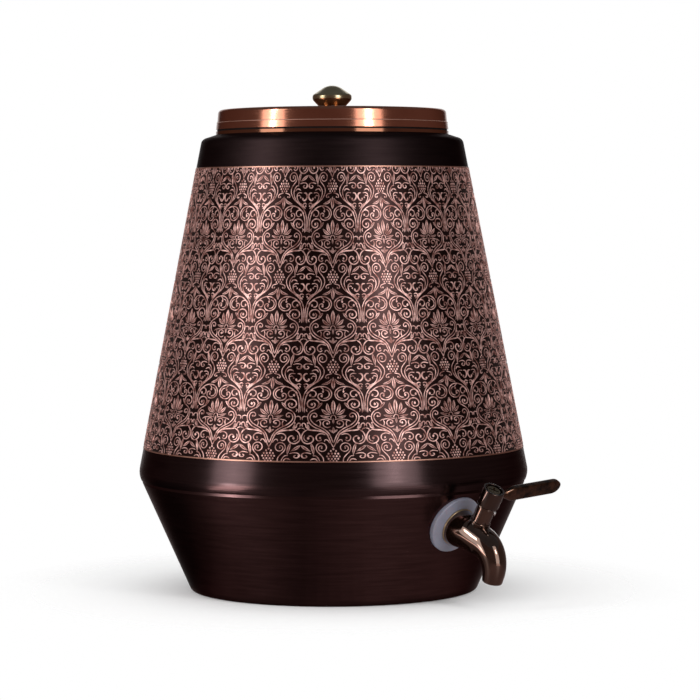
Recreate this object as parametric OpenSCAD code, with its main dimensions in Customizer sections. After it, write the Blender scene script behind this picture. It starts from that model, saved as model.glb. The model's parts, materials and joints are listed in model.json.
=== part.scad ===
// Copper water dispenser: a two-piece copper vessel with a lift-off lid and a quarter-turn lever tap.
// All sizes are millimetres. The origin is on the floor at the vessel's axis.
// +Z is up, the tap faces -Y and its lever lies along +X when the tap is shut.

/* [Vessel] */
// Radius where the lower wall's line meets the floor
base_r = 95.5; // [88:0.5:104]
// Radius where the lines of the two walls meet at the ridge
ridge_r = 130; // [122:0.5:138]
// Height where the lines of the two walls meet
ridge_z = 77.6; // [68:0.2:90]
// Rounding of the ridge, limited by the lip below it
ridge_round = 13.5; // [8:0.5:26]
// Length of the upper shell's lip below the ridge
ridge_lip = 4.4; // [4:0.1:9]
// Radius where the upper wall's line meets the shoulder
shoulder_r = 86.75; // [83:0.25:94]
// Height where the upper wall's line meets the shoulder
shoulder_z = 299.2; // [250:0.2:340]
// Rounding of the shoulder
shoulder_round = 4.5; // [2:0.25:7]
// Rise of the shoulder towards the mouth, in degrees
shoulder_slope = 18; // [8:0.5:24]
// Thickness of the vessel's copper sheet
sheet = 1; // [0.6:0.05:1.4]
// Solder gap between brazed sheets
seam_gap = 0.1; // [0.05:0.01:0.2]
// Length of the lower bowl's lap above the ridge
seam_lap = 12; // [8:0.5:20]
// Length of the step where the bowl's wall joggles in under the lip
seam_joggle = 2; // [1.5:0.1:4]

/* [Base] */
// Width of the turned-in foot ring
foot_w = 13; // [10:0.5:20]
// Rounding of the foot's outer edge
foot_round = 2.5; // [1.5:0.25:4]
// Room between the base plate's edge and the foot's sharp corner
plate_inset = 4; // [3.5:0.25:6]
// Rise of the base plate's pressed centre
plate_kick = 3; // [1.5:0.25:6]
// Width of the step round the pressed centre
plate_step = 9; // [6:0.5:14]
// Flat land between the foot ring's inner edge and the step
plate_land = 2; // [1:0.25:4]
// Rounding of the step's edges
plate_bend = 4; // [2:0.5:6]

/* [Neck and lid] */
// Outer radius of the neck that the lid's skirt slips over
neck_r = 74.2; // [68:0.2:76]
// Thickness of the neck's wall
neck_wall = 1.2; // [0.8:0.05:1.6]
// Height of the neck above its ledge
neck_h = 7.2; // [5:0.2:9]
// Depth of the neck's soldering skirt below the shoulder
neck_skirt = 4; // [2:0.25:8]
// Radius of the rolled bead along the mouth
bead_r = 1; // [0.7:0.05:1.2]
// Height of the ledge under the lid's skirt, from the shoulder at its outer edge
ledge_h = 3.4; // [2.8:0.05:5]
// How far the ledge stands out past the skirt
ledge_out = 0.1; // [0:0.05:0.6]
// Height of the groove between the ledge's outer band and the lid
groove_h = 1.2; // [0.6:0.1:1.6]
// Depth of that groove
groove_d = 1; // [0.5:0.05:1]
// Thickness of the lid's sheet
lid_sheet = 0.9; // [0.6:0.05:1.2]
// Room between the neck and the inside of the skirt at its mouth
lid_play = 2.1; // [1.6:0.05:3]
// Height of the lid's skirt
lid_h = 13; // [11.5:0.1:20]
// How much narrower the lid is at its top edge
lid_taper = 1.6; // [0.6:0.1:1.8]
// Rounding of the lid's top edge
lid_round = 2.5; // [1.5:0.1:4]
// Rise of the lid's top from its edge to the knob's seat
lid_crown = 1.5; // [0.5:0.1:4]
// Flat margin of the lid's seat round the knob's foot
seat_margin = 1.5; // [0.5:0.1:3]
// Rounding where the crown meets that seat
crown_bend = 2; // [0.5:0.1:4]
// Height of the skirt's folded hem
hem_h = 4.8; // [3:0.1:7]
// How far the hem stands out from the skirt
hem_step = 0.3; // [0.1:0.05:0.5]
// Height of the hem's fold inside the skirt, which stands on the ledge
fold_h = 2.5; // [1.5:0.1:3]

/* [Knob] */
// Largest radius of the knob
knob_r = 13.06; // [11:0.1:18]
// Height of the knob above its seat
knob_h = 14.8; // [13:0.1:20]
// Radius of the knob's foot
knob_foot_r = 8; // [7.2:0.1:10]
// Height of the belt's lower edge above the seat
knob_belt_z = 5.4; // [4:0.1:7]
// Height of the knob's belt
knob_belt_h = 3.1; // [1.5:0.1:4.5]
// Radius where the knob's cone meets the level of its tip
knob_tip_r = 3.5; // [2:0.1:5]
// Rounding of the knob's tip, limited by that radius
knob_tip_round = 11.5; // [5:0.5:14]
// Rounding of the belt's edges
knob_edge = 2.4; // [0.4:0.1:2.6]
// Radius of the knob's screw
knob_screw_r = 2.4; // [1.9:0.1:3]
// Depth of the screw's hole in the knob
knob_hole = 9; // [6:0.5:11]
// Radius of the screw's head
knob_head_r = 4.6; // [4:0.1:5.5]
// Height of the screw's head
knob_head_h = 2.4; // [1.8:0.1:2.6]
// Rounding of the screw's head
knob_head_round = 1.2; // [0.4:0.1:1.6]
// Width of the slot in the screw's head
knob_slot_w = 1; // [0.8:0.1:1.6]
// Depth of the slot in the screw's head
knob_slot_d = 1.2; // [0.8:0.1:1.6]
// Depth left in a screw's hole past the screw's end
hole_spare = 1; // [0.5:0.1:2]
// Room round a screw in a sheet or washer that it passes through
screw_clear = 0.2; // [0.05:0.05:0.4]
// Radius of the washer under the lid
knob_washer_r = 7; // [6:0.1:9]
// Thickness of the washer under the lid
knob_washer_t = 1; // [0.6:0.1:1.2]

/* [Tap body] */
// Height where the tap's axis leaves the lower wall
tap_z = 52; // [46:0.5:58]
// Radius of the tap's threaded shank, half an inch pipe
shank_r = 10.48; // [8.3:0.02:10.6]
// Room round the shank in the wall's hole
shank_clear = 0.4; // [0.2:0.05:0.8]
// Thread left past the lock nut
shank_spare = 3.5; // [2:0.25:8]
// Radius of the tap's flange
flange_r = 12.8; // [12.4:0.1:15]
// Thickness of the tap's flange
flange_h = 1.2; // [1:0.1:3]
// Radius of the tap's barrel, from the flange to the middle of its straight run
barrel_r = 11.7; // [10.8:0.1:12.2]
// Rise of the barrel's centre line on its way to the valve
barrel_rise = 1.5; // [0.25:0.25:2.5]
// Radius of the spout at its mouth
spout_r = 6.4; // [6:0.1:7.5]
// Distance from the flange's face to the valve's axis
valve_reach = 14; // [12:0.2:20]
// Straight run of the barrel past the valve's axis
bend_start = 9.5; // [6:0.1:12]
// Radius of the gooseneck's bend
bend_r = 16.5; // [14:0.5:24]
// Angle through which the gooseneck turns
bend_angle = 82; // [66:1:88]
// Straight run at the end of the spout
spout_tail = 5; // [2:0.25:8]
// Rounding at the spout's lip
spout_lip = 0.8; // [0.4:0.1:1.2]
// Radius of the spout's counterbored mouth
mouth_r = 4.6; // [4:0.1:4.8]
// Depth of the spout's counterbored mouth
mouth_depth = 4; // [1.5:0.25:6]
// Radius of the shank's inlet bore
inlet_r = 6.5; // [5:0.1:7.5]
// Wall left between the inlet bore and the valve's chamber
seat_wall = 2.6; // [1.5:0.1:4]

/* [Tap seals and nut] */
// Radius of the outer silicone washer
washer_r = 19.25; // [17:0.25:22]
// Thickness of the outer washer under the flange
washer_h = 3.2; // [2.6:0.1:6]
// Drop of the outer washer's face from the flange to its rim
washer_dish = 1.4; // [0.5:0.1:1.6]
// Flat margin of the outer washer's face round the flange
washer_margin = 0.5; // [0:0.1:1.5]
// Rounding of the outer washer's rim
washer_edge = 1; // [0.4:0.1:1.5]
// Rounding where the dished face leaves the flat margin
washer_bend = 3; // [0.5:0.5:5]
// Room between a washer and the wall that it is moulded to
wall_gap = 0.02; // [0.01:0.01:0.05]
// Radius of the inner silicone washer
inner_washer_r = 16; // [14.5:0.25:18]
// Thickness of the inner washer
inner_washer_h = 3; // [2.4:0.1:4]
// Radius of the backing washer
backing_r = 15.4; // [13.5:0.1:17]
// Thickness of the backing washer
backing_h = 1.2; // [0.8:0.1:2]
// Width of the lock nut across its flats
nut_af = 27; // [25:0.5:30]
// Thickness of the lock nut
nut_h = 6; // [4:0.25:9]
// Height of the chamfer on the lock nut's corners
nut_chamfer = 1; // [0.4:0.1:1.8]
// Width of the chamfer on the lock nut's corners
nut_bevel = 1.6; // [0.6:0.1:2.5]
// Room between a threaded or press-fitted piece and its hole
thread_gap = 0.05; // [0.02:0.01:0.1]

/* [Valve] */
// Lean of the valve's axis towards the spout, in degrees
valve_lean = 7; // [0:0.5:10]
// Radius of the boss under the valve's neck, at the barrel
boss_r = 8.6; // [8:0.1:9.4]
// Height of the boss above the barrel's axis
boss_h = 13.2; // [12:0.2:18]
// Step between the boss's top edge and the neck
boss_step = 0.6; // [0.2:0.1:1]
// Radius of the valve's neck
valve_neck_r = 6; // [5.9:0.05:7]
// Height of the valve's neck above the boss
valve_neck_h = 11.4; // [8:0.2:14]
// Radius of the turning plug
plug_r = 4.7; // [4.5:0.05:4.8]
// Running clearance between the plug and its chamber
plug_gap = 0.05; // [0.02:0.01:0.1]
// Depth of the plug below the barrel's axis
plug_depth = 6.4; // [6:0.1:6.8]
// Radius of the water port through the plug
port_r = 2.9; // [2.2:0.1:3.1]
// Width of the plug's square drive
drive_w = 5.6; // [4.6:0.1:6.2]
// Section radius of the plug's sealing rings
ring_r = 0.8; // [0.6:0.05:0.9]
// Height of the upper sealing ring above the barrel's axis
ring_z = 9; // [6:0.25:12]
// Depth of the lower sealing ring below the barrel's axis
ring_low = 4.8; // [4.4:0.1:5]
// Radius of the stop pin
pin_r = 1.1; // [0.8:0.05:1.3]
// Depth of the stop pin's seat below the top of the neck
pin_drop = 2.3; // [2.2:0.1:5]
// Angle of the stop pin, from the shut lever towards the spout
pin_angle = 55; // [0:1:60]
// Height of the stop pin's domed head
pin_head = 1.1; // [0.6:0.1:1.6]
// Radius of the stop pin's head
pin_head_r = 1.6; // [1.4:0.1:2]
// Rounding of the stop pin's head
pin_dome = 0.9; // [0.2:0.1:1.2]
// How deep the stop pin reaches into the plug's slot
pin_bite = 1.2; // [0.8:0.1:1.4]
// Room between the stop pin's tip and the slot's floor
tip_room = 0.4; // [0.2:0.1:0.6]
// Room above and below the stop pin in the slot
slot_clear = 0.15; // [0.1:0.05:0.3]
// Room between the stop pin and the slot's end at each stop
stop_clear = 0.25; // [0.1:0.05:0.5]
// Quarter turn of the lever
turn = 90; // [60:1:100]

/* [Lever] */
// Thickness of the thrust washer under the cap
thrust_h = 1.2; // [0.6:0.1:2]
// Radius of the thrust washer
thrust_r = 6.6; // [6.4:0.05:8]
// Radius of the lever's cap
cap_r = 7.2; // [7:0.05:8.5]
// Height of the lever's cap
cap_h = 11.9; // [11.5:0.1:16]
// Rounding of the cap's lower edge
cap_edge = 0.8; // [0.2:0.1:1.5]
// Rounding of the cap's top edge
cap_rim = 0.4; // [0.1:0.1:0.8]
// Width of the ring round the cap's open top
cap_ring = 1.5; // [1.2:0.1:1.8]
// Depth of the recess in the cap's top
cap_recess = 3.2; // [2.8:0.1:4]
// Thickness of the web that the lever's screw clamps
cap_web = 2.2; // [1.5:0.1:3]
// Distance from the valve's axis to the lever's tip
lever_len = 58.5; // [45:0.5:80]
// Height of the lever's blade
blade_h = 10; // [8:0.25:12]
// Thickness of the lever's blade
blade_t = 4.6; // [3.5:0.1:6]
// Depth cut off the blade's round edges
blade_flat = 0.5; // [0.2:0.1:1]
// Height of the lever's stem where it leaves the cap
stem_h = 3.6; // [3:0.1:5]
// Drop of the stem's top below the cap's top
stem_drop = 4.1; // [0.2:0.1:5]
// Straight run of the stem outside the cap
stem_run = 1; // [0.5:0.1:3]
// Rounding where the stem starts to flare
stem_bend = 2; // [0.5:0.5:4]
// Distance from the valve's axis to where the blade is full height
blade_start = 17; // [14:0.5:24]
// Rounding where the blade reaches full height
blade_bend = 5; // [1:0.5:8]
// Rise of the lever towards its tip, in degrees
lever_rise = 4.5; // [0:0.5:8]
// Radius of the lever's screw
lever_screw_r = 1.6; // [1.2:0.1:1.9]
// Length of the lever's screw below the web
lever_screw_l = 6; // [4:0.25:8]
// Radius of the lever screw's head
lever_head_r = 4.4; // [3:0.1:4.6]
// Height of the lever screw's head
lever_head_h = 1.9; // [1.4:0.1:2]
// Length of each slot in the lever screw's head
cross_l = 6.4; // [4:0.1:7]
// Width of each slot in the lever screw's head
cross_w = 1.1; // [0.5:0.1:1.4]
// Depth of each slot in the lever screw's head
cross_d = 0.95; // [0.5:0.05:1.2]
// Thickness of the spring washer under that head
spring_t = 0.6; // [0.4:0.05:0.8]
// How far the spring washer stands out past the head
spring_out = 0.4; // [0.1:0.1:0.6]

/* [Hidden] */
$fn = 72;
// Segments in each rounded corner of a profile
corner_steps = 7;
// Most of a side that roundings may take up, and the least rounding of an inner sheet face
side_share = 0.98;
least_round = 0.05;
// Rings along the gooseneck's barrel and bend, and sides round its outside and its bore
barrel_rings = 6;
bend_rings = 18;
goose_sides = 36;
bore_sides = 24;
// Sides of the cone that shapes the washers' backs
core_sides = 540;
// Overshoot of a cutting solid past the face that it opens
cut = 1;

dark_copper = [0.17, 0.11, 0.10];
bright_copper = [0.72, 0.38, 0.27];
antique_brass = [0.45, 0.36, 0.22];
dark_bronze = [0.24, 0.15, 0.11];
plain_brass = [0.75, 0.60, 0.33];
milky_silicone = [0.74, 0.72, 0.80];
black_rubber = [0.10, 0.10, 0.10];
steel = [0.70, 0.70, 0.72];

// The vessel's walls in the plane of radius and height
ridge = [ridge_r, ridge_z];
low_dir = unit([ridge_r - base_r, ridge_z]);
high_dir = unit([shoulder_r - ridge_r, shoulder_z - ridge_z]);
low_tilt = atan2(low_dir.x, low_dir.y);
seam = ridge - ridge_lip * low_dir;
lap_end = ridge + seam_lap * high_dir;

// The neck, its ledge and the lid that stands on it
lid_r = neck_r + lid_play + lid_sheet;
ledge_r = lid_r + ledge_out;
ledge_z = shoulder_at(ledge_r) + ledge_h;
lid_top = ledge_z + lid_h;
knob_seat_r = knob_foot_r + seat_margin;
knob_z = lid_top + lid_crown;
lid_under = knob_z - lid_sheet;

// The tap's own frame: its axis is square to the lower wall
tap_r = low_r(tap_z);
flange_z = washer_h + flange_h;
valve_u = flange_z + valve_reach;
inner_stack = sheet + inner_washer_h + backing_h + nut_h;
shank_hole = shank_r + shank_clear;
chamber_r = plug_r + plug_gap;
neck_top = boss_h + valve_neck_h;
pin_z = neck_top - pin_drop;
goose_run = valve_reach + bend_start;
goose_arc = bend_r * bend_angle * PI / 180;
goose_len = goose_run + goose_arc + spout_tail;

// The lever's cap above the valve's neck
cap_z = neck_top + thrust_h + plug_gap;
cap_top = cap_z + cap_h;
recess_floor = cap_top - cap_recess;
drive_top = recess_floor - cap_web - thread_gap;
ring_groove = chamber_r - plug_gap - 2 * ring_r;
pin_tip = plug_r - pin_bite;
pin_slot = pin_tip - tip_room;

function unit(v) = v / norm(v);
function low_r(z) = base_r + (ridge_r - base_r) * z / ridge_z;
function shoulder_at(r) = shoulder_z + (shoulder_r - r) * tan(shoulder_slope);
function flip(path) = [for (i = [len(path) - 1 : -1 : 0]) path[i]];
function flat(p) = [p.x, p.y];

// An open outline of [x, y, rounding] points with its inner corners turned into arcs
function rounded(path) = [
    for (i = [0 : len(path) - 1])
        each (i == 0 || i == len(path) - 1 || path[i].z == 0) ? [flat(path[i])] : corner(path, i)
];
function reach(a, b) = norm(flat(b) - flat(a)) * side_share / (b.z == 0 ? 1 : 2);
function corner(path, i) =
    let (
        p = flat(path[i]),
        u = unit(flat(path[i - 1]) - p),
        v = unit(flat(path[i + 1]) - p),
        half = acos(u * v) / 2,
        room = min(reach(path[i], path[i - 1]), reach(path[i], path[i + 1])),
        r = min(path[i].z, room * tan(half)),
        centre = p + unit(u + v) * r / sin(half),
        a = p + u * r / tan(half) - centre,
        b = p + v * r / tan(half) - centre,
        start = atan2(a.y, a.x),
        sweep = atan2(a.x * b.y - a.y * b.x, a * b)
    )
    [for (k = [0 : corner_steps]) centre + r * [cos(start + sweep * k / corner_steps),
                                               sin(start + sweep * k / corner_steps)]];

// The same outline moved to its left by a distance, with its roundings kept concentric
function left(a, b) = let (d = unit(flat(b) - flat(a))) [-d.y, d.x];
function inset(path, d) = [
    for (i = [0 : len(path) - 1])
        let (
            n1 = left(path[max(i - 1, 0)], path[max(i, 1)]),
            n2 = left(path[min(i, len(path) - 2)], path[min(i + 1, len(path) - 1)]),
            side = sign(n1.x * n2.y - n1.y * n2.x),
            p = flat(path[i]) + d * (n1 + n2) / (1 + n1 * n2)
        )
        [p.x, p.y, path[i].z == 0 ? 0 : max(path[i].z - side * d, least_round)]
];

// A sheet of one thickness spun round the vessel's axis, its outside along the path
module spun(path, thickness) {
    rotate_extrude()
        polygon(concat(rounded(path), flip(rounded(inset(path, thickness)))));
}

module ring(r_in, r_out, h) {
    difference() {
        cylinder(r = r_out, h = h);
        translate([0, 0, -cut]) cylinder(r = r_in, h = h + 2 * cut);
    }
}

// The tap's frame: +Z out along its axis from the wall's face, +Y up, +X along the shut lever
module at_tap() {
    translate([0, -tap_r, tap_z]) rotate([90 + low_tilt, 0, 0]) children();
}

// The valve's frame: +Z up its axis, +X along the shut lever, -Y out over the spout
module at_valve() {
    at_tap() translate([0, 0, valve_u]) rotate([valve_lean - 90, 0, 0]) children();
}

// Everything inside the lower wall's line, grown or shrunk square to the wall
module wall_core(grow) {
    d = grow / cos(low_tilt);
    rotate_extrude($fn = core_sides)
        polygon([[0, 0], [base_r + d, 0], [ridge_r + d, ridge_z], [0, ridge_z]]);
}

// Upper shell: from the lip below the ridge, up the tapered wall and over the shoulder to the neck's hole
module upper_shell() {
    inner_r = neck_r - sheet;
    color(dark_copper)
        difference() {
            spun([
                [seam.x, seam.y, 0],
                [ridge_r, ridge_z, ridge_round],
                [shoulder_r, shoulder_z, shoulder_round],
                [inner_r, shoulder_at(inner_r), 0]
            ], sheet);
            translate([0, 0, shoulder_z - neck_r]) cylinder(r = neck_r + seam_gap, h = 2 * neck_r);
        }
}

// Lower bowl: foot ring, flared wall and the lap that is soldered inside the ridge
module lower_bowl() {
    lap = inset([[seam.x, seam.y, 0], [ridge_r, ridge_z, ridge_round], [lap_end.x, lap_end.y, 0]],
                sheet + seam_gap);
    joggle = seam - seam_joggle * low_dir;
    color(dark_copper)
        difference() {
            spun(concat(
                [[base_r - foot_w, 0, 0], [base_r, 0, foot_round], [joggle.x, joggle.y, 0]],
                lap
            ), sheet);
            at_tap() cylinder(r = shank_hole, h = 4 * sheet + 2 * cut, center = true);
        }
}

// Base plate: a pressed disc soldered on the foot ring, its centre raised off the floor
module base_plate() {
    step_r = base_r - foot_w - plate_land;
    color(bright_copper)
        spun([
            [0, sheet + plate_kick, 0],
            [step_r - plate_step, sheet + plate_kick, plate_bend],
            [step_r, sheet, plate_bend],
            [base_r - plate_inset, sheet, 0]
        ], sheet);
}

// Neck ring: a soldering skirt, the grooved ledge under the lid and the neck with its rolled mouth
module neck_ring() {
    under = seam_gap / cos(shoulder_slope);
    mouth = ledge_z + neck_h;
    color(bright_copper)
        rotate_extrude() {
            polygon([
                [neck_r - neck_wall, shoulder_at(neck_r) - neck_skirt],
                [neck_r, shoulder_at(neck_r) - neck_skirt],
                [neck_r, shoulder_at(neck_r) + under],
                [ledge_r, shoulder_at(ledge_r) + under],
                [ledge_r, ledge_z - groove_h],
                [ledge_r - groove_d, ledge_z - groove_h],
                [ledge_r - groove_d, ledge_z],
                [neck_r, ledge_z],
                [neck_r, mouth - bead_r],
                [neck_r - neck_wall, mouth - bead_r]
            ]);
            translate([neck_r - neck_wall / 2, mouth - bead_r]) circle(r = bead_r);
        }
}

// Lid: a slightly tapered skirt with a folded hem, and a shallow crown up to the knob's seat
module lid_shell() {
    slope = lid_taper / lid_h;
    hem_top = hem_h - hem_step;
    color(bright_copper)
        difference() {
            union() {
                spun([
                    [lid_r, ledge_z, 0],
                    [lid_r - slope * hem_top, ledge_z + hem_top, 0],
                    [lid_r - slope * hem_h - hem_step, ledge_z + hem_h, 0],
                    [lid_r - lid_taper, lid_top, lid_round],
                    [knob_seat_r, knob_z, crown_bend],
                    [0, knob_z, 0]
                ], lid_sheet);
                translate([0, 0, ledge_z]) ring(lid_r - 2 * lid_sheet, lid_r - lid_sheet / 2, fold_h);
            }
            translate([0, 0, ledge_z - cut]) cylinder(r = lid_r + cut, h = cut);
            translate([0, 0, lid_under - cut])
                cylinder(r = knob_screw_r + screw_clear, h = lid_sheet + 2 * cut);
        }
}

// Knob: a turned lozenge with a rounded belt, bored from below for its screw
module knob() {
    color(antique_brass)
        translate([0, 0, knob_z])
            difference() {
                rotate_extrude()
                    polygon(rounded([
                        [0, 0, 0],
                        [knob_foot_r, 0, 0],
                        [knob_r, knob_belt_z, knob_edge],
                        [knob_r, knob_belt_z + knob_belt_h, knob_edge],
                        [knob_tip_r, knob_h, knob_tip_round],
                        [0, knob_h, 0]
                    ]));
                translate([0, 0, -cut]) cylinder(r = knob_screw_r + thread_gap, h = knob_hole + cut);
            }
}

module knob_washer() {
    color(steel)
        translate([0, 0, lid_under - knob_washer_t])
            ring(knob_screw_r + screw_clear, knob_washer_r, knob_washer_t);
}

module knob_screw() {
    under_washer = lid_under - knob_washer_t;
    shank = knob_z + knob_hole - hole_spare - under_washer;
    color(steel)
        translate([0, 0, under_washer])
            difference() {
                union() {
                    translate([0, 0, -knob_head_h])
                        rotate_extrude()
                            polygon(rounded([
                                [0, 0, 0], [knob_head_r, 0, knob_head_round],
                                [knob_head_r, knob_head_h, 0], [0, knob_head_h, 0]
                            ]));
                    cylinder(r = knob_screw_r, h = shank);
                }
                translate([0, 0, -knob_head_h])
                    cube([2 * (knob_head_r + cut), knob_slot_w, 2 * knob_slot_d], center = true);
            }
}

// A point of the gooseneck's centre line: [height, reach, downward turn] at a length from the flange
function goose_share(s, from, to) = min(max((s - from) / (to - from), 0), 1);
function goose_line(s) =
    let (
        a = goose_share(s, goose_run, goose_run + goose_arc) * bend_angle,
        lift = barrel_rise * (1 - cos(180 * goose_share(s, 0, valve_reach))) / 2,
        straight = min(s, goose_run),
        tail = max(s - goose_run - goose_arc, 0)
    )
    [
        lift - bend_r * (1 - cos(a)) - tail * sin(a),
        flange_z + straight + bend_r * sin(a) + tail * cos(a),
        a
    ];

// The gooseneck's radius, and how far the bore runs below its centre line to start at the plug's port
function goose_r(s) = barrel_r + (spout_r - barrel_r) * goose_share(s, goose_run - bend_start / 2, goose_len);
function bore_drop(s) = barrel_rise * (1 - goose_share(s, valve_reach, goose_len));

// Lengths along the barrel and the bend at which the gooseneck has a ring, and how far the lip is drawn in
barrel_lengths = [for (i = [0 : barrel_rings]) valve_reach * i / barrel_rings];
bend_lengths = [for (i = [0 : bend_rings]) goose_run + goose_arc * i / bend_rings];
function lip_draw(s) =
    let (t = max(s - goose_len + spout_lip, 0) / spout_lip) spout_lip * (1 - sqrt(1 - t * t));

// A loft of round sections along the gooseneck's centre line, through stations of [length, radius, drop]
module goose_loft(stations, n) {
    points = [
        for (s = stations, j = [0 : n - 1])
            let (at = goose_line(s[0]), r = s[1], t = 360 * j / n)
            [r * cos(t), at[0] - s[2] + r * sin(t) * cos(at[2]), at[1] + r * sin(t) * sin(at[2])]
    ];
    sides = [
        for (i = [0 : len(stations) - 2], j = [0 : n - 1])
            let (a = i * n + j, b = i * n + (j + 1) % n)
            each [[a, a + n, b], [b, a + n, b + n]]
    ];
    first = [for (j = [0 : n - 1]) j];
    last = [for (j = [n - 1 : -1 : 0]) (len(stations) - 1) * n + j];
    polyhedron(points, concat(sides, [first, last]));
}

// The tapered gooseneck, from inside the flange to the spout's rounded lip
module gooseneck() {
    lip_lengths = [for (a = [0 : 30 : 90]) goose_len - spout_lip * (1 - sin(a))];
    lengths = concat([-flange_h / 2], barrel_lengths, [goose_run - bend_start / 2], bend_lengths, lip_lengths);
    goose_loft([for (s = lengths) [s, goose_r(s) - lip_draw(s), 0]], goose_sides);
}

// The water's way: inlet, the valve's two ports, the bend and the counterbored mouth
module waterway() {
    inlet_end = valve_u - chamber_r - seat_wall;
    end = goose_line(goose_len);
    in_chamber = valve_reach + plug_r / 2;
    in_mouth = goose_len - min(spout_tail, mouth_depth) / 2;
    translate([0, 0, -inner_stack - shank_spare - cut])
        cylinder(r = inlet_r, h = inner_stack + shank_spare + cut + inlet_end);
    translate([0, 0, inlet_end - cut]) cylinder(r = port_r, h = valve_u - inlet_end + cut);
    goose_loft([for (s = concat([in_chamber], bend_lengths, [in_mouth])) [s, port_r, bore_drop(s)]], bore_sides);
    translate([0, end[0], end[1]])
        rotate([end[2], 0, 0])
            translate([0, 0, -mouth_depth]) cylinder(r = mouth_r, h = mouth_depth + cut);
}

module tap_body() {
    color(dark_bronze)
        difference() {
            union() {
                at_tap() {
                    translate([0, 0, -inner_stack - shank_spare])
                        cylinder(r = shank_r, h = inner_stack + shank_spare + washer_h + flange_h / 2);
                    translate([0, 0, washer_h]) cylinder(r = flange_r, h = flange_h);
                    gooseneck();
                }
                at_valve() {
                    cylinder(r1 = boss_r, r2 = valve_neck_r + boss_step, h = boss_h);
                    cylinder(r = valve_neck_r, h = neck_top);
                }
            }
            at_tap() waterway();
            at_valve() {
                translate([0, 0, -plug_depth - plug_gap])
                    cylinder(r = chamber_r, h = plug_depth + plug_gap + neck_top + cut);
                at_pin() translate([0, 0, plug_r / 2]) cylinder(r = pin_r + thread_gap, h = 2 * plug_r);
            }
        }
}

// The stop pin's frame: +Z out through the side of the valve's neck
module at_pin() {
    translate([0, 0, pin_z]) rotate([0, 90, -pin_angle]) children();
}

module stop_pin() {
    color(steel)
        at_valve() at_pin() {
            translate([0, 0, pin_tip]) cylinder(r = pin_r, h = valve_neck_r + pin_head / 2 - pin_tip);
            translate([0, 0, valve_neck_r + thread_gap])
                rotate_extrude()
                    polygon(rounded([
                        [0, 0, 0], [pin_head_r, 0, 0],
                        [pin_head_r, pin_head, pin_dome], [0, pin_head, 0]
                    ]));
        }
}

// Outer washer: silicone, dished on its face and moulded to the wall behind
module outer_washer() {
    hub = shank_r + shank_clear / 2;
    sag = washer_r * washer_r / tap_r;
    color(milky_silicone)
        difference() {
            at_tap()
                rotate_extrude()
                    polygon(rounded([
                        [hub, -sag, 0],
                        [washer_r, -sag, 0],
                        [washer_r, washer_h - washer_dish, washer_edge],
                        [flange_r + washer_margin, washer_h, washer_bend],
                        [hub, washer_h, 0]
                    ]));
            wall_core(wall_gap);
        }
}

// Inner washer: silicone, moulded to the inside of the wall
module inner_washer() {
    color(milky_silicone)
        intersection() {
            at_tap()
                translate([0, 0, -sheet - inner_washer_h])
                    ring(shank_r + shank_clear / 2, inner_washer_r, inner_washer_h + cut);
            wall_core(-sheet - wall_gap);
        }
}

module backing_washer() {
    color(plain_brass)
        at_tap()
            translate([0, 0, -sheet - inner_washer_h - backing_h])
                ring(shank_r + shank_clear / 2, backing_r, backing_h);
}

// Lock nut: a hexagon with turned corners, screwed along the shank
module lock_nut() {
    corner_r = nut_af / 2 / cos(30);
    color(plain_brass)
        at_tap()
            translate([0, 0, -inner_stack])
                difference() {
                    intersection() {
                        cylinder(r = corner_r, h = nut_h, $fn = 6);
                        rotate_extrude()
                            polygon([
                                [0, 0], [corner_r - nut_bevel, 0], [corner_r, nut_chamfer],
                                [corner_r, nut_h], [0, nut_h]
                            ]);
                    }
                    translate([0, 0, -cut]) cylinder(r = shank_r + thread_gap, h = nut_h + 2 * cut);
                }
}

module thrust_washer() {
    color(dark_bronze)
        at_valve()
            translate([0, 0, neck_top])
                ring(chamber_r, thrust_r, thrust_h);
}

// Valve plug: cross port, two ring grooves, the stop pin's slot and a square drive
module valve_plug() {
    play = asin((pin_r + stop_clear) / pin_tip);
    slot_h = 2 * (pin_r + slot_clear);
    color(plain_brass)
        at_valve()
            difference() {
                union() {
                    translate([0, 0, -plug_depth]) cylinder(r = plug_r, h = plug_depth + neck_top);
                    translate([-drive_w / 2, -drive_w / 2, 0]) cube([drive_w, drive_w, drive_top]);
                }
                rotate([0, 90, 0]) cylinder(r = port_r, h = 4 * plug_r, center = true);
                for (z = [ring_z, -ring_low])
                    translate([0, 0, z - ring_r - thread_gap])
                        ring(ring_groove - thread_gap, plug_r + cut, 2 * (ring_r + thread_gap));
                translate([0, 0, pin_z])
                    rotate([0, 0, -pin_angle - play])
                        rotate_extrude(angle = turn + 2 * play)
                            translate([pin_slot, -slot_h / 2]) square([plug_r, slot_h]);
                translate([0, 0, drive_top - lever_screw_l - hole_spare])
                    cylinder(r = lever_screw_r + thread_gap, h = lever_screw_l + hole_spare + cut);
            }
}

module o_ring(z) {
    color(black_rubber)
        at_valve()
            translate([0, 0, z])
                rotate_extrude() translate([ring_groove + ring_r, 0]) circle(r = ring_r);
}

module upper_o_ring() {
    o_ring(ring_z);
}

module lower_o_ring() {
    o_ring(-ring_low);
}

// The lever's outline from the side: a narrow stem that flares into the blade
module lever_side() {
    stem_x = cap_r - cap_ring / 2;
    polygon(rounded([
        [stem_x, -stem_h / 2, 0],
        [cap_r + stem_run, -stem_h / 2, stem_bend],
        [blade_start, -blade_h / 2, blade_bend],
        [lever_len, -blade_h / 2, blade_h / 2],
        [lever_len, blade_h / 2, blade_h / 2],
        [blade_start, blade_h / 2, blade_bend],
        [cap_r + stem_run, stem_h / 2, stem_bend],
        [stem_x, stem_h / 2, 0]
    ]));
}

// The blade's section: an upright bar with round edges
module blade_section() {
    side = blade_h / 2 + blade_flat - blade_t / 2;
    square([blade_t, 2 * side], center = true);
    for (y = [-side, side])
        translate([0, y]) circle(r = blade_t / 2);
}

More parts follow.
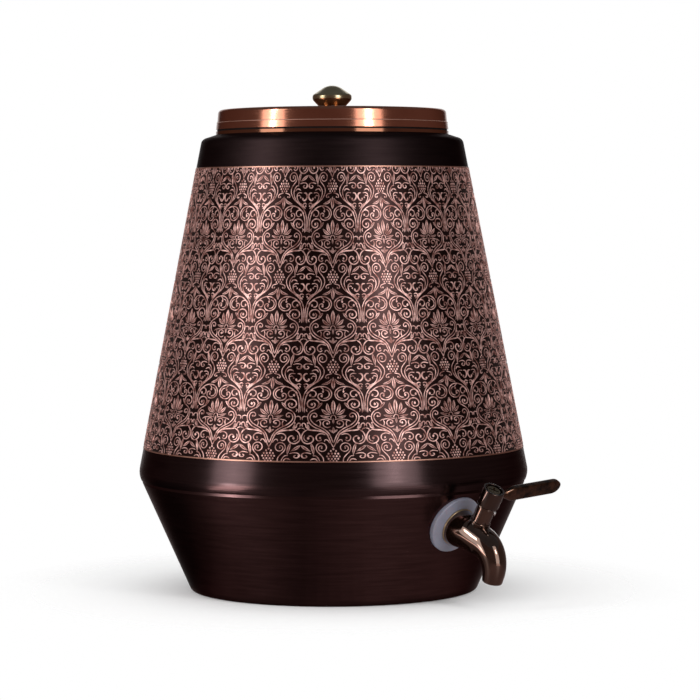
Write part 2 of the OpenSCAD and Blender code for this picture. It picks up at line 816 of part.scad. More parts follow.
// Lever: a cap with an open ring top and a flat blade, cast in one
module lever() {
    stem_z = cap_top - stem_h / 2 - stem_drop;
    socket = drive_w + 2 * thread_gap;
    color(dark_bronze)
        at_valve() {
            difference() {
                translate([0, 0, cap_z])
                    rotate_extrude()
                        polygon(rounded([
                            [0, 0, 0], [cap_r, 0, cap_edge], [cap_r, cap_h, cap_rim], [0, cap_h, 0]
                        ]));
                translate([0, 0, recess_floor]) cylinder(r = cap_r - cap_ring, h = cap_recess + cut);
                translate([-socket / 2, -socket / 2, cap_z - cut])
                    cube([socket, socket, drive_top + thread_gap - cap_z + cut]);
                translate([0, 0, drive_top - cut])
                    cylinder(r = lever_screw_r + screw_clear, h = cap_web + 2 * cut);
            }
            translate([0, 0, stem_z])
                rotate([0, -lever_rise, 0])
                    intersection() {
                        rotate([90, 0, 0]) linear_extrude(height = blade_t + cut, center = true) lever_side();
                        rotate([90, 0, 90]) linear_extrude(height = lever_len + cut) blade_section();
                    }
        }
}

module lever_washer() {
    color(steel)
        at_valve()
            translate([0, 0, recess_floor])
                ring(lever_screw_r + screw_clear, lever_head_r + spring_out, spring_t);
}

// Lever screw: a cross-slotted cheese head in the cap's recess
module lever_screw() {
    under_head = recess_floor + spring_t;
    color(steel)
        at_valve()
            translate([0, 0, under_head])
                difference() {
                    union() {
                        cylinder(r = lever_head_r, h = lever_head_h);
                        translate([0, 0, -spring_t - cap_web - lever_screw_l])
                            cylinder(r = lever_screw_r, h = spring_t + cap_web + lever_screw_l);
                    }
                    for (a = [45, 135])
                        translate([0, 0, lever_head_h])
                            rotate([0, 0, a]) cube([cross_l, cross_w, 2 * cross_d], center = true);
                }
}

upper_shell();
lower_bowl();
base_plate();
neck_ring();
lid_shell();
knob();
knob_screw();
knob_washer();
tap_body();
outer_washer();
inner_washer();
backing_washer();
lock_nut();
stop_pin();
thrust_washer();
valve_plug();
upper_o_ring();
lower_o_ring();
lever();
lever_screw();
lever_washer();
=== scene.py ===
import json
import math

import bmesh
import bpy
import numpy as np
from mathutils import Matrix, Vector


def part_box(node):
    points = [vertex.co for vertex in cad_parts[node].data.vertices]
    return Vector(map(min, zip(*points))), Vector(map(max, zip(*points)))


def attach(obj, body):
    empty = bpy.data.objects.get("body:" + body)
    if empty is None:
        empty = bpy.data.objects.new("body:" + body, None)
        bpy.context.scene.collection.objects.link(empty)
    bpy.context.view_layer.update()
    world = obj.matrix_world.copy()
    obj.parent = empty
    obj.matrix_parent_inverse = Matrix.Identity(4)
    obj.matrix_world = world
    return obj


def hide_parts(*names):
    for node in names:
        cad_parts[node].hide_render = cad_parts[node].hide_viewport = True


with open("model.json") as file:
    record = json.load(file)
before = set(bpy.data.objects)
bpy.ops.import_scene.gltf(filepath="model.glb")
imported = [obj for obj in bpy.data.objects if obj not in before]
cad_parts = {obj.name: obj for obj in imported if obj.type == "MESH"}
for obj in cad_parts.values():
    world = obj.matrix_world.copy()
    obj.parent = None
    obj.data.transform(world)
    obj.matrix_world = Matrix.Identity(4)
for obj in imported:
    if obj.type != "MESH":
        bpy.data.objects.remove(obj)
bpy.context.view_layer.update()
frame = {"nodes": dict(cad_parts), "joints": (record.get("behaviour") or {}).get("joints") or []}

MM = 0.001

# Sizes of the vessel, in millimetres, as the solids have them
RIDGE_R, RIDGE_Z = 130.0, 77.6
SHOULDER_R, SHOULDER_Z = 86.75, 299.2
WALL_TILT = math.atan2(RIDGE_R - SHOULDER_R, SHOULDER_Z - RIDGE_Z)

# The camera looks at the vessel from this azimuth, and the middle of a column of the damask faces it
CAMERA_AZIMUTH = math.radians(-40.6)

# Sizes of the tap, in millimetres, measured from the valve's axis
VALVE_REACH, VALVE_LEAN = 14.0, math.radians(7)
FLANGE_H, FLANGE_R = 1.2, 12.8
SHANK_R, SHANK_END = 10.48, 33.1
BARREL_R, ROOT_R, BARREL_RISE, SPOUT_R = 11.7, 12.4, 1.8, 6.4
BEND_START, BEND_R, BEND_ANGLE, SPOUT_TAIL = 9.5, 16.5, math.radians(82), 5.0
MOUTH_R, MOUTH_DEPTH, PORT_R = 4.6, 4.0, 2.9
BOSS_R, BOSS_H, BOSS_TOP_R = 8.6, 13.2, 6.6
NECK_R, NECK_TOP, CHAMBER_R = 6.0, 24.6, 4.75
THRUST_R, THRUST_H = 6.6, 1.2
CAP_R, CAP_LOW, CAP_TOP, CAP_RING, CAP_RECESS = 7.2, 25.85, 37.75, 1.5, 3.2
DRIVE_W, DRIVE_TOP = 5.7, 32.35
LEVER_LEN, BLADE_H, BLADE_T, BLADE_START, TIP_LEN = 58.5, 10.0, 4.6, 17.0, 7.0
STEM_H, STEM_DROP, LEVER_RISE = 3.6, 4.1, math.radians(4.5)


# Mesh building

def grid_faces(rows, cols, closed):
    """Quads of a grid of points, its columns joined into a loop if closed."""
    last = cols if closed else cols - 1
    return [
        (i * cols + j, i * cols + (j + 1) % cols, (i + 1) * cols + (j + 1) % cols, (i + 1) * cols + j)
        for i in range(rows - 1) for j in range(last)
    ]


def add_piece(name, verts, faces, material, body, slot, replaced=(), sharp=40):
    """A mesh object in metres that rides on a body; edges over the sharp angle stay crisp."""
    mesh = bpy.data.meshes.new(name)
    mesh.from_pydata(np.asarray(verts).tolist(), [], faces)
    work = bmesh.new()
    work.from_mesh(mesh)
    bmesh.ops.remove_doubles(work, verts=work.verts, dist=1e-7)
    bmesh.ops.recalc_face_normals(work, faces=work.faces)
    work.to_mesh(mesh)
    work.free()
    mesh.polygons.foreach_set("use_smooth", [True] * len(mesh.polygons))
    mesh.set_sharp_from_angle(angle=math.radians(sharp))
    mesh.materials.append(material)
    piece = bpy.data.objects.new(name, mesh)
    bpy.context.scene.collection.objects.link(piece)
    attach(piece, body)
    if replaced:
        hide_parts(*replaced)
    return piece


def joined(*parts):
    """One list of points and faces from several (points, faces) pairs."""
    verts, faces, start = [], [], 0
    for points, quads in parts:
        verts.extend(np.asarray(points).tolist())
        faces.extend(tuple(v + start for v in face) for face in quads)
        start += len(points)
    return np.array(verts), faces


def rounded(path, steps=6):
    """An outline of (r, z, rounding) points with its inner corners turned into arcs."""
    out = [np.array(path[0][:2], float)]
    for before, here, after in zip(path, path[1:], path[2:]):
        p = np.array(here[:2], float)
        if here[2] == 0:
            out.append(p)
            continue
        u = np.array(before[:2]) - p
        v = np.array(after[:2]) - p
        room = 0.49 * min(np.linalg.norm(u), np.linalg.norm(v))
        u, v = u / np.linalg.norm(u), v / np.linalg.norm(v)
        half = math.acos(np.clip(u @ v, -1, 1)) / 2
        r = min(here[2], room * math.tan(half))
        centre = p + (u + v) / np.linalg.norm(u + v) * r / math.sin(half)
        a, b = p + u * r / math.tan(half) - centre, p + v * r / math.tan(half) - centre
        start = math.atan2(a[1], a[0])
        sweep = math.atan2(a[0] * b[1] - a[1] * b[0], a @ b)
        for k in range(steps + 1):
            t = start + sweep * k / steps
            out.append(centre + r * np.array([math.cos(t), math.sin(t)]))
    out.append(np.array(path[-1][:2], float))
    return np.array(out)


def lathe(profile, place, sides=96):
    """A profile of (radius, height) in millimetres spun about the Z axis of a placing matrix."""
    profile = np.asarray(profile, float)
    t = np.linspace(0, 2 * math.pi, sides, endpoint=False)
    points = np.stack([
        np.outer(profile[:, 0], np.cos(t)), np.outer(profile[:, 0], np.sin(t)),
        np.repeat(profile[:, 1:2], sides, axis=1)], axis=-1).reshape(-1, 3)
    return placed(points, place), grid_faces(len(profile), sides, True)


def placed(points, place):
    """Points in millimetres carried into the frame by a matrix in metres."""
    m = np.array(place)
    return np.asarray(points) * MM @ m[:3, :3].T + m[:3, 3]


# Materials

# Keeps lacquered metal from turning white at its rims
EDGE_TINT = (0.45, 0.42, 0.42, 1)
# A face belongs to the vessel's inside if its normal leans outwards by less than this
INSIDE_LEAN = -0.25


class Finish:
    """A node material with short calls for the nodes that these finishes are made of."""

    def __init__(self, name, **sockets):
        self.material = bpy.data.materials.new(name)
        self.material.use_nodes = True
        self.tree = self.material.node_tree
        self.shader = self.tree.nodes["Principled BSDF"]
        for key, value in sockets.items():
            self.shader.inputs[key.replace("_", " ").title().replace("Ior", "IOR")].default_value = value

    def node(self, kind, **values):
        node = self.tree.nodes.new(kind)
        for key, value in values.items():
            setattr(node, key, value)
        return node

    def link(self, source, target):
        self.tree.links.new(source, target)

    def math(self, operation, a, b=0.0):
        node = self.node("ShaderNodeMath", operation=operation)
        for socket, value in zip(node.inputs, (a, b)):
            if isinstance(value, (int, float)):
                socket.default_value = value
            else:
                self.link(value, socket)
        return node.outputs[0]

    def object_coords(self):
        return self.node("ShaderNodeTexCoord").outputs["Object"]

    def around(self, turns, rise):
        """Coordinates that run slowly round the vessel's axis and fast up it."""
        split = self.node("ShaderNodeSeparateXYZ")
        self.link(self.object_coords(), split.inputs[0])
        flat = self.node("ShaderNodeCombineXYZ")
        self.link(split.outputs[0], flat.inputs[0])
        self.link(split.outputs[1], flat.inputs[1])
        unit = self.node("ShaderNodeVectorMath", operation="NORMALIZE")
        self.link(flat.outputs[0], unit.inputs[0])
        wide = self.node("ShaderNodeVectorMath", operation="SCALE")
        wide.inputs["Scale"].default_value = turns
        self.link(unit.outputs[0], wide.inputs[0])
        lift = self.node("ShaderNodeCombineXYZ")
        self.link(self.math("MULTIPLY", split.outputs[2], rise), lift.inputs[2])
        both = self.node("ShaderNodeVectorMath", operation="ADD")
        self.link(wide.outputs[0], both.inputs[0])
        self.link(lift.outputs[0], both.inputs[1])
        return both.outputs[0]

    def noise(self, coords, scale, detail=3.0, roughness=0.55):
        node = self.node("ShaderNodeTexNoise")
        node.inputs["Scale"].default_value = scale
        node.inputs["Detail"].default_value = detail
        node.inputs["Roughness"].default_value = roughness
        self.link(coords, node.inputs["Vector"])
        return node.outputs["Fac"]

    def ramp(self, factor, *stops):
        """A colour ramp of (place, colour) stops."""
        node = self.node("ShaderNodeValToRGB")
        elements = node.color_ramp.elements
        while len(elements) < len(stops):
            elements.new(0.5)
        for element, (place, colour) in zip(elements, stops):
            element.position = place
            element.color = (*colour, 1.0) if isinstance(colour, tuple) else (colour, colour, colour, 1.0)
        self.link(factor, node.inputs["Fac"])
        return node.outputs["Color"]

    def mix(self, factor, a, b, blend="MIX"):
        node = self.node("ShaderNodeMix", data_type="RGBA", blend_type=blend)
        for socket, value in ((node.inputs["Factor"], factor), (node.inputs["A"], a), (node.inputs["B"], b)):
            if isinstance(value, tuple):
                socket.default_value = (*value, 1.0)
            elif isinstance(value, (int, float)):
                socket.default_value = value
            else:
                self.link(value, socket)
        return node.outputs["Result"]

    def spread(self, factor, low, high):
        """A factor from 0 to 1 carried to a range of values."""
        node = self.node("ShaderNodeMapRange")
        node.inputs["To Min"].default_value = low
        node.inputs["To Max"].default_value = high
        self.link(factor, node.inputs["Value"])
        return node.outputs["Result"]

    def bump(self, height, strength, distance):
        node = self.node("ShaderNodeBump")
        node.inputs["Strength"].default_value = strength
        node.inputs["Distance"].default_value = distance
        self.link(height, node.inputs["Height"])
        self.link(node.outputs["Normal"], self.shader.inputs["Normal"])

    def colour(self, source):
        self.link(source, self.shader.inputs["Base Color"])

    def rough(self, source):
        self.link(source, self.shader.inputs["Roughness"])

    def inward(self):
        """One where a face looks towards the vessel's axis, zero where it looks out."""
        geometry = self.node("ShaderNodeNewGeometry")
        split = self.node("ShaderNodeVectorMath", operation="MULTIPLY")
        split.inputs[1].default_value = (1, 1, 0)
        self.link(self.object_coords(), split.inputs[0])
        unit = self.node("ShaderNodeVectorMath", operation="NORMALIZE")
        self.link(split.outputs[0], unit.inputs[0])
        dot = self.node("ShaderNodeVectorMath", operation="DOT_PRODUCT")
        self.link(unit.outputs[0], dot.inputs[0])
        self.link(geometry.outputs["True Normal"], dot.inputs[1])
        return self.math("LESS_THAN", dot.outputs["Value"], INSIDE_LEAN)


# Brushing and lathe lines, as (scale round the vessel, scale up it)
STREAKS, FINE_LINES, LATHE_LINES = (3.0, 620.0), (9.0, 2600.0), (4.0, 1500.0)
# Share of the streaks in the patina's tone; the clouds have the rest
STREAK_SHARE = 0.65
# Roughness of the patina, and what the duller crown adds to it
PATINA_ROUGH, CROWN_ROUGH = (0.19, 0.28), 0.3
# Depth of the finest surface relief, in metres
BUMP_DEPTH = 0.0001


def brushed_patina(name, dark, light, inside, crown=None):
    """Darkened copper, brushed round the vessel, with bare copper inside.

    A crown is (height, shade): over that height in metres the colour is multiplied by the shade.
    """
    finish = Finish(name, metallic=1.0, anisotropic=0.5, anisotropic_rotation=0.25, specular_tint=EDGE_TINT)
    tangent = finish.node("ShaderNodeTangent", direction_type="RADIAL", axis="Z")
    finish.link(tangent.outputs[0], finish.shader.inputs["Tangent"])
    streaks = finish.noise(finish.around(*STREAKS), 1.0, 5.0, 0.62)
    clouds = finish.noise(finish.object_coords(), 14.0, 4.0)
    fine = finish.noise(finish.around(*FINE_LINES), 1.0, 2.0)
    tone = finish.math("ADD", finish.math("MULTIPLY", streaks, STREAK_SHARE),
                       finish.math("MULTIPLY", clouds, 1 - STREAK_SHARE))
    patina = finish.ramp(tone, (0.3, dark), (0.72, light))
    rough = finish.spread(streaks, *PATINA_ROUGH)
    if crown:
        split = finish.node("ShaderNodeSeparateXYZ")
        finish.link(finish.object_coords(), split.inputs[0])
        over = finish.math("GREATER_THAN", split.outputs[2], crown[0])
        patina = finish.mix(over, patina, finish.mix(1.0, patina, (crown[1],) * 3, "MULTIPLY"))
        rough = finish.math("ADD", rough, finish.math("MULTIPLY", over, CROWN_ROUGH))
    finish.colour(finish.mix(finish.inward(), patina, inside))
    finish.rough(rough)
    finish.bump(fine, 0.08, BUMP_DEPTH)
    return finish.material


def satin_copper(name, dark, light, rough):
    """Spun copper with fine lathe lines and a little tarnish."""
    finish = Finish(name, metallic=1.0, anisotropic=0.4, anisotropic_rotation=0.25, specular_tint=EDGE_TINT)
    tangent = finish.node("ShaderNodeTangent", direction_type="RADIAL", axis="Z")
    finish.link(tangent.outputs[0], finish.shader.inputs["Tangent"])
    lines = finish.noise(finish.around(*LATHE_LINES), 1.0, 3.0)
    tarnish = finish.noise(finish.object_coords(), 22.0, 5.0, 0.6)
    finish.colour(finish.ramp(tarnish, (0.34, dark), (0.62, light)))
    finish.rough(finish.spread(lines, rough - 0.05, rough + 0.06))
    finish.bump(lines, 0.06, BUMP_DEPTH)
    return finish.material


# How much finer the pits of cast metal are than its tonal drift
PITS_PER_GRAIN = 22


def cast_metal(name, dark, light, rough, grain=60.0, **sockets):
    """Polished cast metal with slow tonal drift and faint pitting."""
    finish = Finish(name, **{"metallic": 1.0, **sockets})
    drift = finish.noise(finish.object_coords(), grain, 4.0)
    pits = finish.noise(finish.object_coords(), grain * PITS_PER_GRAIN, 2.0)
    finish.colour(finish.ramp(drift, (0.35, dark), (0.68, light)))
    finish.rough(finish.spread(drift, rough, rough + 0.08))
    finish.bump(pits, 0.05, BUMP_DEPTH)
    return finish.material


def rubber(name, dark, light, rough, **sockets):
    """Moulded silicone or rubber with a soft bloom."""
    finish = Finish(name, **sockets)
    bloom = finish.noise(finish.object_coords(), 90.0, 4.0)
    finish.colour(finish.ramp(bloom, (0.3, dark), (0.7, light)))
    finish.rough(finish.spread(bloom, rough - 0.06, rough + 0.06))
    finish.bump(finish.noise(finish.object_coords(), 1800.0, 2.0), 0.08, BUMP_DEPTH)
    return finish.material


INSIDE_COPPER = (0.55, 0.24, 0.15)
# The plain band over the damask: where it starts, in metres, and how much darker it is
CROWN = (0.2805, 0.45)
# Clear lacquer over polished bronze
LACQUER = {"metallic": 0.97, "coat_weight": 1.0, "coat_roughness": 0.02, "coat_ior": 1.5}
body_copper = brushed_patina("dark_copper", (0.036, 0.022, 0.023), (0.075, 0.048, 0.049), INSIDE_COPPER,
                             CROWN)
bowl_copper = brushed_patina("dark_copper_bowl", (0.050, 0.027, 0.027), (0.105, 0.060, 0.060), INSIDE_COPPER)
collar_copper = satin_copper("collar_copper", (0.24, 0.102, 0.060), (0.33, 0.145, 0.086), 0.12)
ground_copper = cast_metal("ground_copper", (0.020, 0.010, 0.009), (0.038, 0.021, 0.020), 0.28, 30.0)
lid_copper = satin_copper("satin_copper", (0.44, 0.17, 0.105), (0.55, 0.23, 0.15), 0.17)
relief_copper = cast_metal("relief_copper", (0.29, 0.120, 0.100), (1.00, 0.65, 0.59), 0.42, 280.0,
                           metallic=0.76)
# Partly diffuse copper for the bead on the lid's hem, so that it always reads light: a painted highlight
hem_highlight_copper = cast_metal("hem_highlight_copper", (0.36, 0.19, 0.14), (0.48, 0.27, 0.21), 0.34, 40.0, metallic=0.7)
# Matte near-black for the ring in the lid's groove: painted shade of the gap
groove_painted_shade = rubber("groove_painted_shade", (0.004, 0.002, 0.002), (0.008, 0.005, 0.005), 0.7,
                      specular_ior_level=0.1)
border_copper = cast_metal("border_copper", (0.42, 0.22, 0.16), (0.56, 0.31, 0.24), 0.34, 40.0)
knob_brass = cast_metal("antique_brass", (0.36, 0.29, 0.17), (0.52, 0.43, 0.27), 0.18)
rim_brass = cast_metal("rim_brass", (0.28, 0.20, 0.12), (0.42, 0.31, 0.19), 0.26, metallic=0.8)
tap_bronze = cast_metal("dark_bronze", (0.068, 0.033, 0.020), (0.112, 0.060, 0.039), 0.03, **LACQUER)
cap_bronze = cast_metal("cap_bronze", (0.036, 0.016, 0.010), (0.062, 0.030, 0.018), 0.04, **LACQUER)
lever_bronze = cast_metal("lever_bronze", (0.010, 0.004, 0.002), (0.15, 0.070, 0.038), 0.08, 190.0,
                          metallic=0.95, coat_weight=0.5, coat_roughness=0.05, coat_ior=1.35)
screw_brass = cast_metal("screw_brass", (0.14, 0.10, 0.055), (0.26, 0.19, 0.11), 0.16)
machined_brass = cast_metal("machined_brass", (0.58, 0.42, 0.19), (0.74, 0.57, 0.30), 0.28)
bright_steel = cast_metal("bright_steel", (0.50, 0.50, 0.51), (0.64, 0.64, 0.65), 0.24)
silicone = rubber("milky_silicone", (0.165, 0.155, 0.195), (0.215, 0.20, 0.25), 0.42, subsurface_weight=0.15)
nitrile = rubber("black_rubber", (0.012, 0.012, 0.012), (0.03, 0.03, 0.03), 0.5)

NODE_MATERIALS = {
    "upper_shell": body_copper, "lower_bowl": bowl_copper, "base_plate": lid_copper,
    "neck_ring": collar_copper, "lid_shell": lid_copper, "knob": knob_brass,
    "knob_screw": bright_steel, "knob_washer": bright_steel, "outer_washer": silicone,
    "inner_washer": silicone, "backing_washer": machined_brass, "lock_nut": machined_brass,
    "stop_pin": bright_steel, "valve_plug": machined_brass, "upper_o_ring": nitrile,
    "lower_o_ring": nitrile, "lever_screw": screw_brass, "lever_washer": screw_brass,
    "tap_body": tap_bronze, "thrust_washer": tap_bronze, "lever": lever_bronze,
}
for node_name, node_material in NODE_MATERIALS.items():
    node_mesh = frame["nodes"][node_name].data
    node_mesh.materials.clear()
    node_mesh.materials.append(node_material)


# The damask band: one half cell of strokes, mirrored, repeated round the wall and up it

CELL_W, CELL_H = 36.0, 54.0
COLUMNS, ROWS = 19, (1, 0, -1, -2, -3)
BAND_LOW, BAND_HIGH = 95.2, 280.0
# Height of row 0 on the wall, the pitch of the rows, and how the pitch grows up the wall
ROW_Z, ROW_PITCH, ROW_GROWTH = 234.6, 57.2, 0.55
RELIEF_H, RELIEF_ROOT = 0.32, 0.2
# The band is split into this many pieces round the wall
SECTORS = 6

# A stroke is (width, points): double lines of the ogee and the heart, scrolls and their hooks
SCROLLS = [
    (0.72, [(0, -18), (1.2, -15.6), (2.2, -12.8), (3.4, -10.3), (5.3, -8.3), (7.9, -6.9), (10.7, -5.6),
            (13.1, -3.5), (14.4, -0.6), (14.1, 2.0), (12.6, 3.9), (10.5, 5.1), (8.7, 6.2)]),
    (0.72, [(0.2, -15.2), (1.1, -12.4), (2.2, -9.9), (3.9, -7.8), (6.3, -6.1), (8.9, -4.8), (11.3, -3.1),
            (12.9, -0.8), (12.9, 1.2), (11.9, 2.6), (10.4, 2.9), (9.3, 2.0), (9.4, 0.8), (10.5, 0.4)]),
    (0.8, [(16.4, 3.2), (16.5, 6.5), (16.3, 9.8), (15.7, 12.6), (14.4, 15.2), (12.4, 17.2), (9.9, 18.5),
           (7.2, 19), (4.9, 18.8), (2.9, 17.9), (1.4, 16.4), (0.9, 14.5), (1.6, 12.3), (3.4, 10.9),
           (5.7, 10.5), (7.8, 11.2), (8.8, 12.8), (8.3, 14.3), (6.9, 14.7), (5.9, 13.8)]),
    (0.75, [(4.9, 17.1), (3.2, 16.4), (2.3, 14.9), (2.5, 13.3), (3.8, 12.1), (5.6, 11.8)]),
    (0.7, [(7.4, 18.6), (6.0, 17.6), (5.7, 16.5)]),
    (0.8, [(15.6, 14.4), (14.0, 16.0), (12.0, 16.6), (10.3, 15.8), (9.9, 14.2), (11.0, 12.8), (12.6, 12.8)]),
    (0.95, [(7.9, 7.8), (8.8, 10.2), (11.0, 11.3), (13.4, 10.8), (14.8, 9.1), (14.5, 7.2), (12.8, 6.1),
            (10.9, 6.6), (10.3, 8.2), (11.2, 9.2)]),
    (0.75, [(1.5, -5.3), (3.3, -5.9), (5.1, -5.1), (5.8, -3.5), (5.0, -1.9), (3.3, -1.6), (2.1, -2.6),
            (2.6, -3.8)]),
    (0.6, [(0.9, -1.0), (3.4, -0.6), (6.0, -1.0), (8.4, -1.4), (9.8, -2.3)]),
    (0.8, [(7.7, -1.7), (7.1, -3.4), (7.7, -5.4)]),
    (1.15, [(2.6, -11.0), (4.2, -9.3), (6.6, -8.2), (9.4, -7.7), (12.2, -7.5), (14.6, -7.1)]),
    (0.95, [(14.6, -7.3), (16.3, -8.5), (17.4, -10.5), (17.6, -12.6), (16.7, -14.6), (14.8, -15.7),
            (12.7, -15.4), (11.2, -14.0), (11.1, -12.3), (12.3, -11.1), (13.8, -11.2)]),
    (0.6, [(16.0, -10.6), (16.3, -12.4), (15.5, -13.9), (14.0, -14.4)]),
    (0.85, [(4.3, -10.3), (6.3, -9.6), (8.3, -10.0), (9.5, -11.5), (9.1, -13.3), (7.7, -14.0), (6.4, -13.2)]),
    (0.7, [(1.9, -15.4), (3.1, -13.6), (4.4, -13.2), (5.0, -14.4)]),
    (0.7, [(17.3, 3.6), (17.6, 8), (17.4, 11.6), (16.6, 14.6), (15.0, 17.2), (12.8, 19.3), (10.2, 21.2),
           (7.8, 22.9), (6.2, 25.0), (5.3, 27.4), (5.6, 29.6), (7.0, 31.6), (8.7, 33.5), (9.5, 35.7),
           (8.8, 37.8), (6.8, 38.8), (4.8, 38.1), (3.8, 36.3), (4.4, 34.4), (6.1, 33.6), (7.8, 34.4),
           (8.1, 36.0), (7.0, 37.0), (5.9, 36.4)]),
    (0.7, [(15.9, 17.3), (13.6, 19.3), (11.2, 20.7), (9.1, 22.6), (7.9, 24.8), (7.4, 27.0), (8.0, 29.1),
           (9.5, 30.8), (11.2, 30.9)]),
    (0.7, [(16.6, 17.3), (14.2, 19.7), (12.2, 20.6), (10.7, 22.2), (9.9, 24.4), (10.3, 26.2), (11.9, 26.9),
           (13.7, 26.6)]),
    (0.7, [(10.2, 24.8), (11.6, 25.3), (12.4, 24.7)]),
    (1.25, [(15.0, 26.7), (16.5, 26.5), (17.4, 25.1), (17.0, 23.4), (15.6, 22.2), (14.3, 22.4)]),
    (0.8, [(12.0, 32.1), (14.2, 32.7), (16.3, 32.5), (17.5, 31.2), (16.8, 29.8), (15.2, 29.6), (14.4, 30.5),
           (15.4, 31.2)]),
    (0.9, [(8.6, 27.6), (9.6, 28.9), (11.2, 29.0), (12.6, 28.2)]),
    (0.9, [(14.6, 18.2), (14.6, 19.8), (15.9, 20.6), (17.3, 20.0)]),
    (0.8, [(14.8, 3.6), (15.4, 4.9), (14.7, 5.6)]),
    (0.8, [(14.8, 0.6), (16.3, 0.9), (17.5, 0.1), (17.4, -1.3)]),
    (0.85, [(13.4, -6.7), (15.1, -5.8), (15.5, -4.2), (16.6, -3.2), (17.6, -4.0), (17.2, -5.4)]),
    (0.75, [(15.8, -7.4), (16.7, -6.5), (17.9, -6.3)]),
    (0.6, [(1.35, -0.5), (1.35, 0.6), (0.7, 1.4), (0, 1.6)]),
    (0.7, [(0.6, 26.8), (2.2, 26.4), (3.9, 25.8), (4.5, 24.5), (3.6, 23.8)]),
]
# A leaf is (width, points) and has a vein cut along it
LEAVES = [
    (2.3, [(1.2, 2.2), (3.0, 5.2), (3.5, 8.7)]), (2.0, [(1.8, 1.8), (4.4, 3.0), (6.6, 5.3)]),
    (1.4, [(2.0, 0.9), (4.6, 0.6), (7.4, 1.4)]), (1.1, [(0.2, -9.2), (1.1, -8), (2.5, -7.2)]),
    (1.7, [(1.0, 23.6), (2.8, 21.3), (6.7, 20.1)]), (1.9, [(10.7, 31.2), (11.2, 34.8), (12.3, 38.6)]),
    (1.9, [(12.6, 33.6), (15.2, 35.2), (17.9, 37.2)]), (1.8, [(8.9, 5.4), (8.0, 7.4), (6.2, 9.1)]),
    (1.2, [(13.0, -6.4), (14, -5.4), (14.3, -4)]),
]
# Leaves on the cell's axis are not mirrored
AXIS_LEAVES = [
    (2.9, [(0, 2.2), (0, 6.4), (0, 10.6)]), (1.2, [(0, -0.2), (0, -1.9), (0, -3.6)]),
    (1.4, [(0, -9.4), (0, -7.6), (0, -5.6)]), (2.5, [(0, 24.4), (0, 20.9), (0, 17.3)]),
]
# Round ends of the scrolls, and the seeds of the pomegranate, as (x, y, radius)
BALLS = [
    (10.9, 0.8, 0.75), (6.6, 13.2, 0.85), (5.9, 15.9, 0.8), (13.3, 13.7, 0.9), (12.2, 8.2, 0.95),
    (3.4, -3.5, 0.75), (13.9, -12.4, 0.95), (7.3, -12.2, 0.75), (14.3, 23.1, 0.85), (6.4, 35.7, 0.6),
    (16.9, 30.7, 0.5), (2.9, 24.3, 0.6), (14.3, -3.2, 0.7), (12.7, 24.0, 0.6), (16.6, 18.9, 0.65),
    (1.4, 33.9, 0.7), (0.9, 32.3, 0.75), (2.6, 32.2, 0.75), (1.75, 30.7, 0.75), (3.4, 30.6, 0.7),
    (0.9, 29.1, 0.75), (2.6, 29.1, 0.72), (1.7, 27.7, 0.65),
]
AXIS_BALLS = [(0, 35.0, 0.75), (0, 30.7, 0.78), (0, 27.8, 0.6)]
# A ball is a short stroke: places along it and half widths there, as shares of its radius
BALL_PLACES, BALL_HALVES = (-1, -0.5, 0, 0.5, 1), (0.2, 0.85, 1, 0.85, 0.2)
# Share of the listed widths that the etching left standing
STROKE_SHARE, LEAF_SHARE = 0.84, 0.98
# Least share of its width at a scroll's end, and the run in widths over which it fills out
END_SHARE, END_RUN = 0.35, 1.6
# How far out a leaf is widest, how full it is, and the least share of its width at the ends
LEAF_SKEW, LEAF_FULLNESS, LEAF_END = 1.25, 0.8, 0.12
LEAF_STEPS = 4
# A stroke that the band's edge cuts to fewer points than this is left out
FEWEST_POINTS = 3


def spline(points, steps=3):
    """A smooth curve through points."""
    p = np.array(points, float)
    p = np.vstack([2 * p[0] - p[1], p, 2 * p[-1] - p[-2]])
    out = []
    for a, b, c, d in zip(p, p[1:], p[2:], p[3:]):
        for t in np.arange(steps) / steps:
            out.append(0.5 * (2 * b + (c - a) * t + (2 * a - 5 * b + 4 * c - d) * t ** 2
                              + (3 * b - a - 3 * c + d) * t ** 3))
    return np.array(out + [p[-2]])


def ends_in(line, width):
    """Half widths along a scroll, drawn in at its two ends."""
    run = np.concatenate([[0], np.cumsum(np.hypot(*np.diff(line, axis=0).T))])
    near = np.minimum(run, run[-1] - run)
    return STROKE_SHARE * width / 2 * np.clip(END_SHARE + near / (END_RUN * width), END_SHARE, 1)


def leaf_width(line, width):
    """Half widths along a leaf, widest past its middle."""
    t = np.linspace(0, 1, len(line))
    swell = np.sin(math.pi * t ** LEAF_SKEW) ** LEAF_FULLNESS
    return LEAF_SHARE * width / 2 * np.clip(swell, LEAF_END, 1)


def cell_strokes():
    """Every stroke of a whole cell: (curve, half widths, whether it is veined)."""
    half = [(spline(p), w, False) for w, p in SCROLLS]
    half += [(spline(p, LEAF_STEPS), w, True) for w, p in LEAVES]
    strokes = []
    for line, width, veined in half:
        for side in (1, -1):
            halves = leaf_width(line, width) if veined else ends_in(line, width)
            strokes.append((line * (side, 1), halves, veined))
    for width, points in AXIS_LEAVES:
        line = spline(points, LEAF_STEPS)
        strokes.append((line, leaf_width(line, width), True))
    for x, y, r in AXIS_BALLS + BALLS + [(-x, y, r) for x, y, r in BALLS]:
        r *= STROKE_SHARE
        ball = np.array([(x, y + r * place) for place in BALL_PLACES])
        strokes.append((ball, r * np.array(BALL_HALVES), False))
    return strokes


def wall_radius(z):
    """The tapered wall's outer radius at a height."""
    return RIDGE_R + (SHOULDER_R - RIDGE_R) * (z - RIDGE_Z) / (SHOULDER_Z - RIDGE_Z)


def band_height(v):
    """The height on the wall of a place counted in rows."""
    return ROW_Z + ROW_PITCH * v + ROW_GROWTH * v ** 2


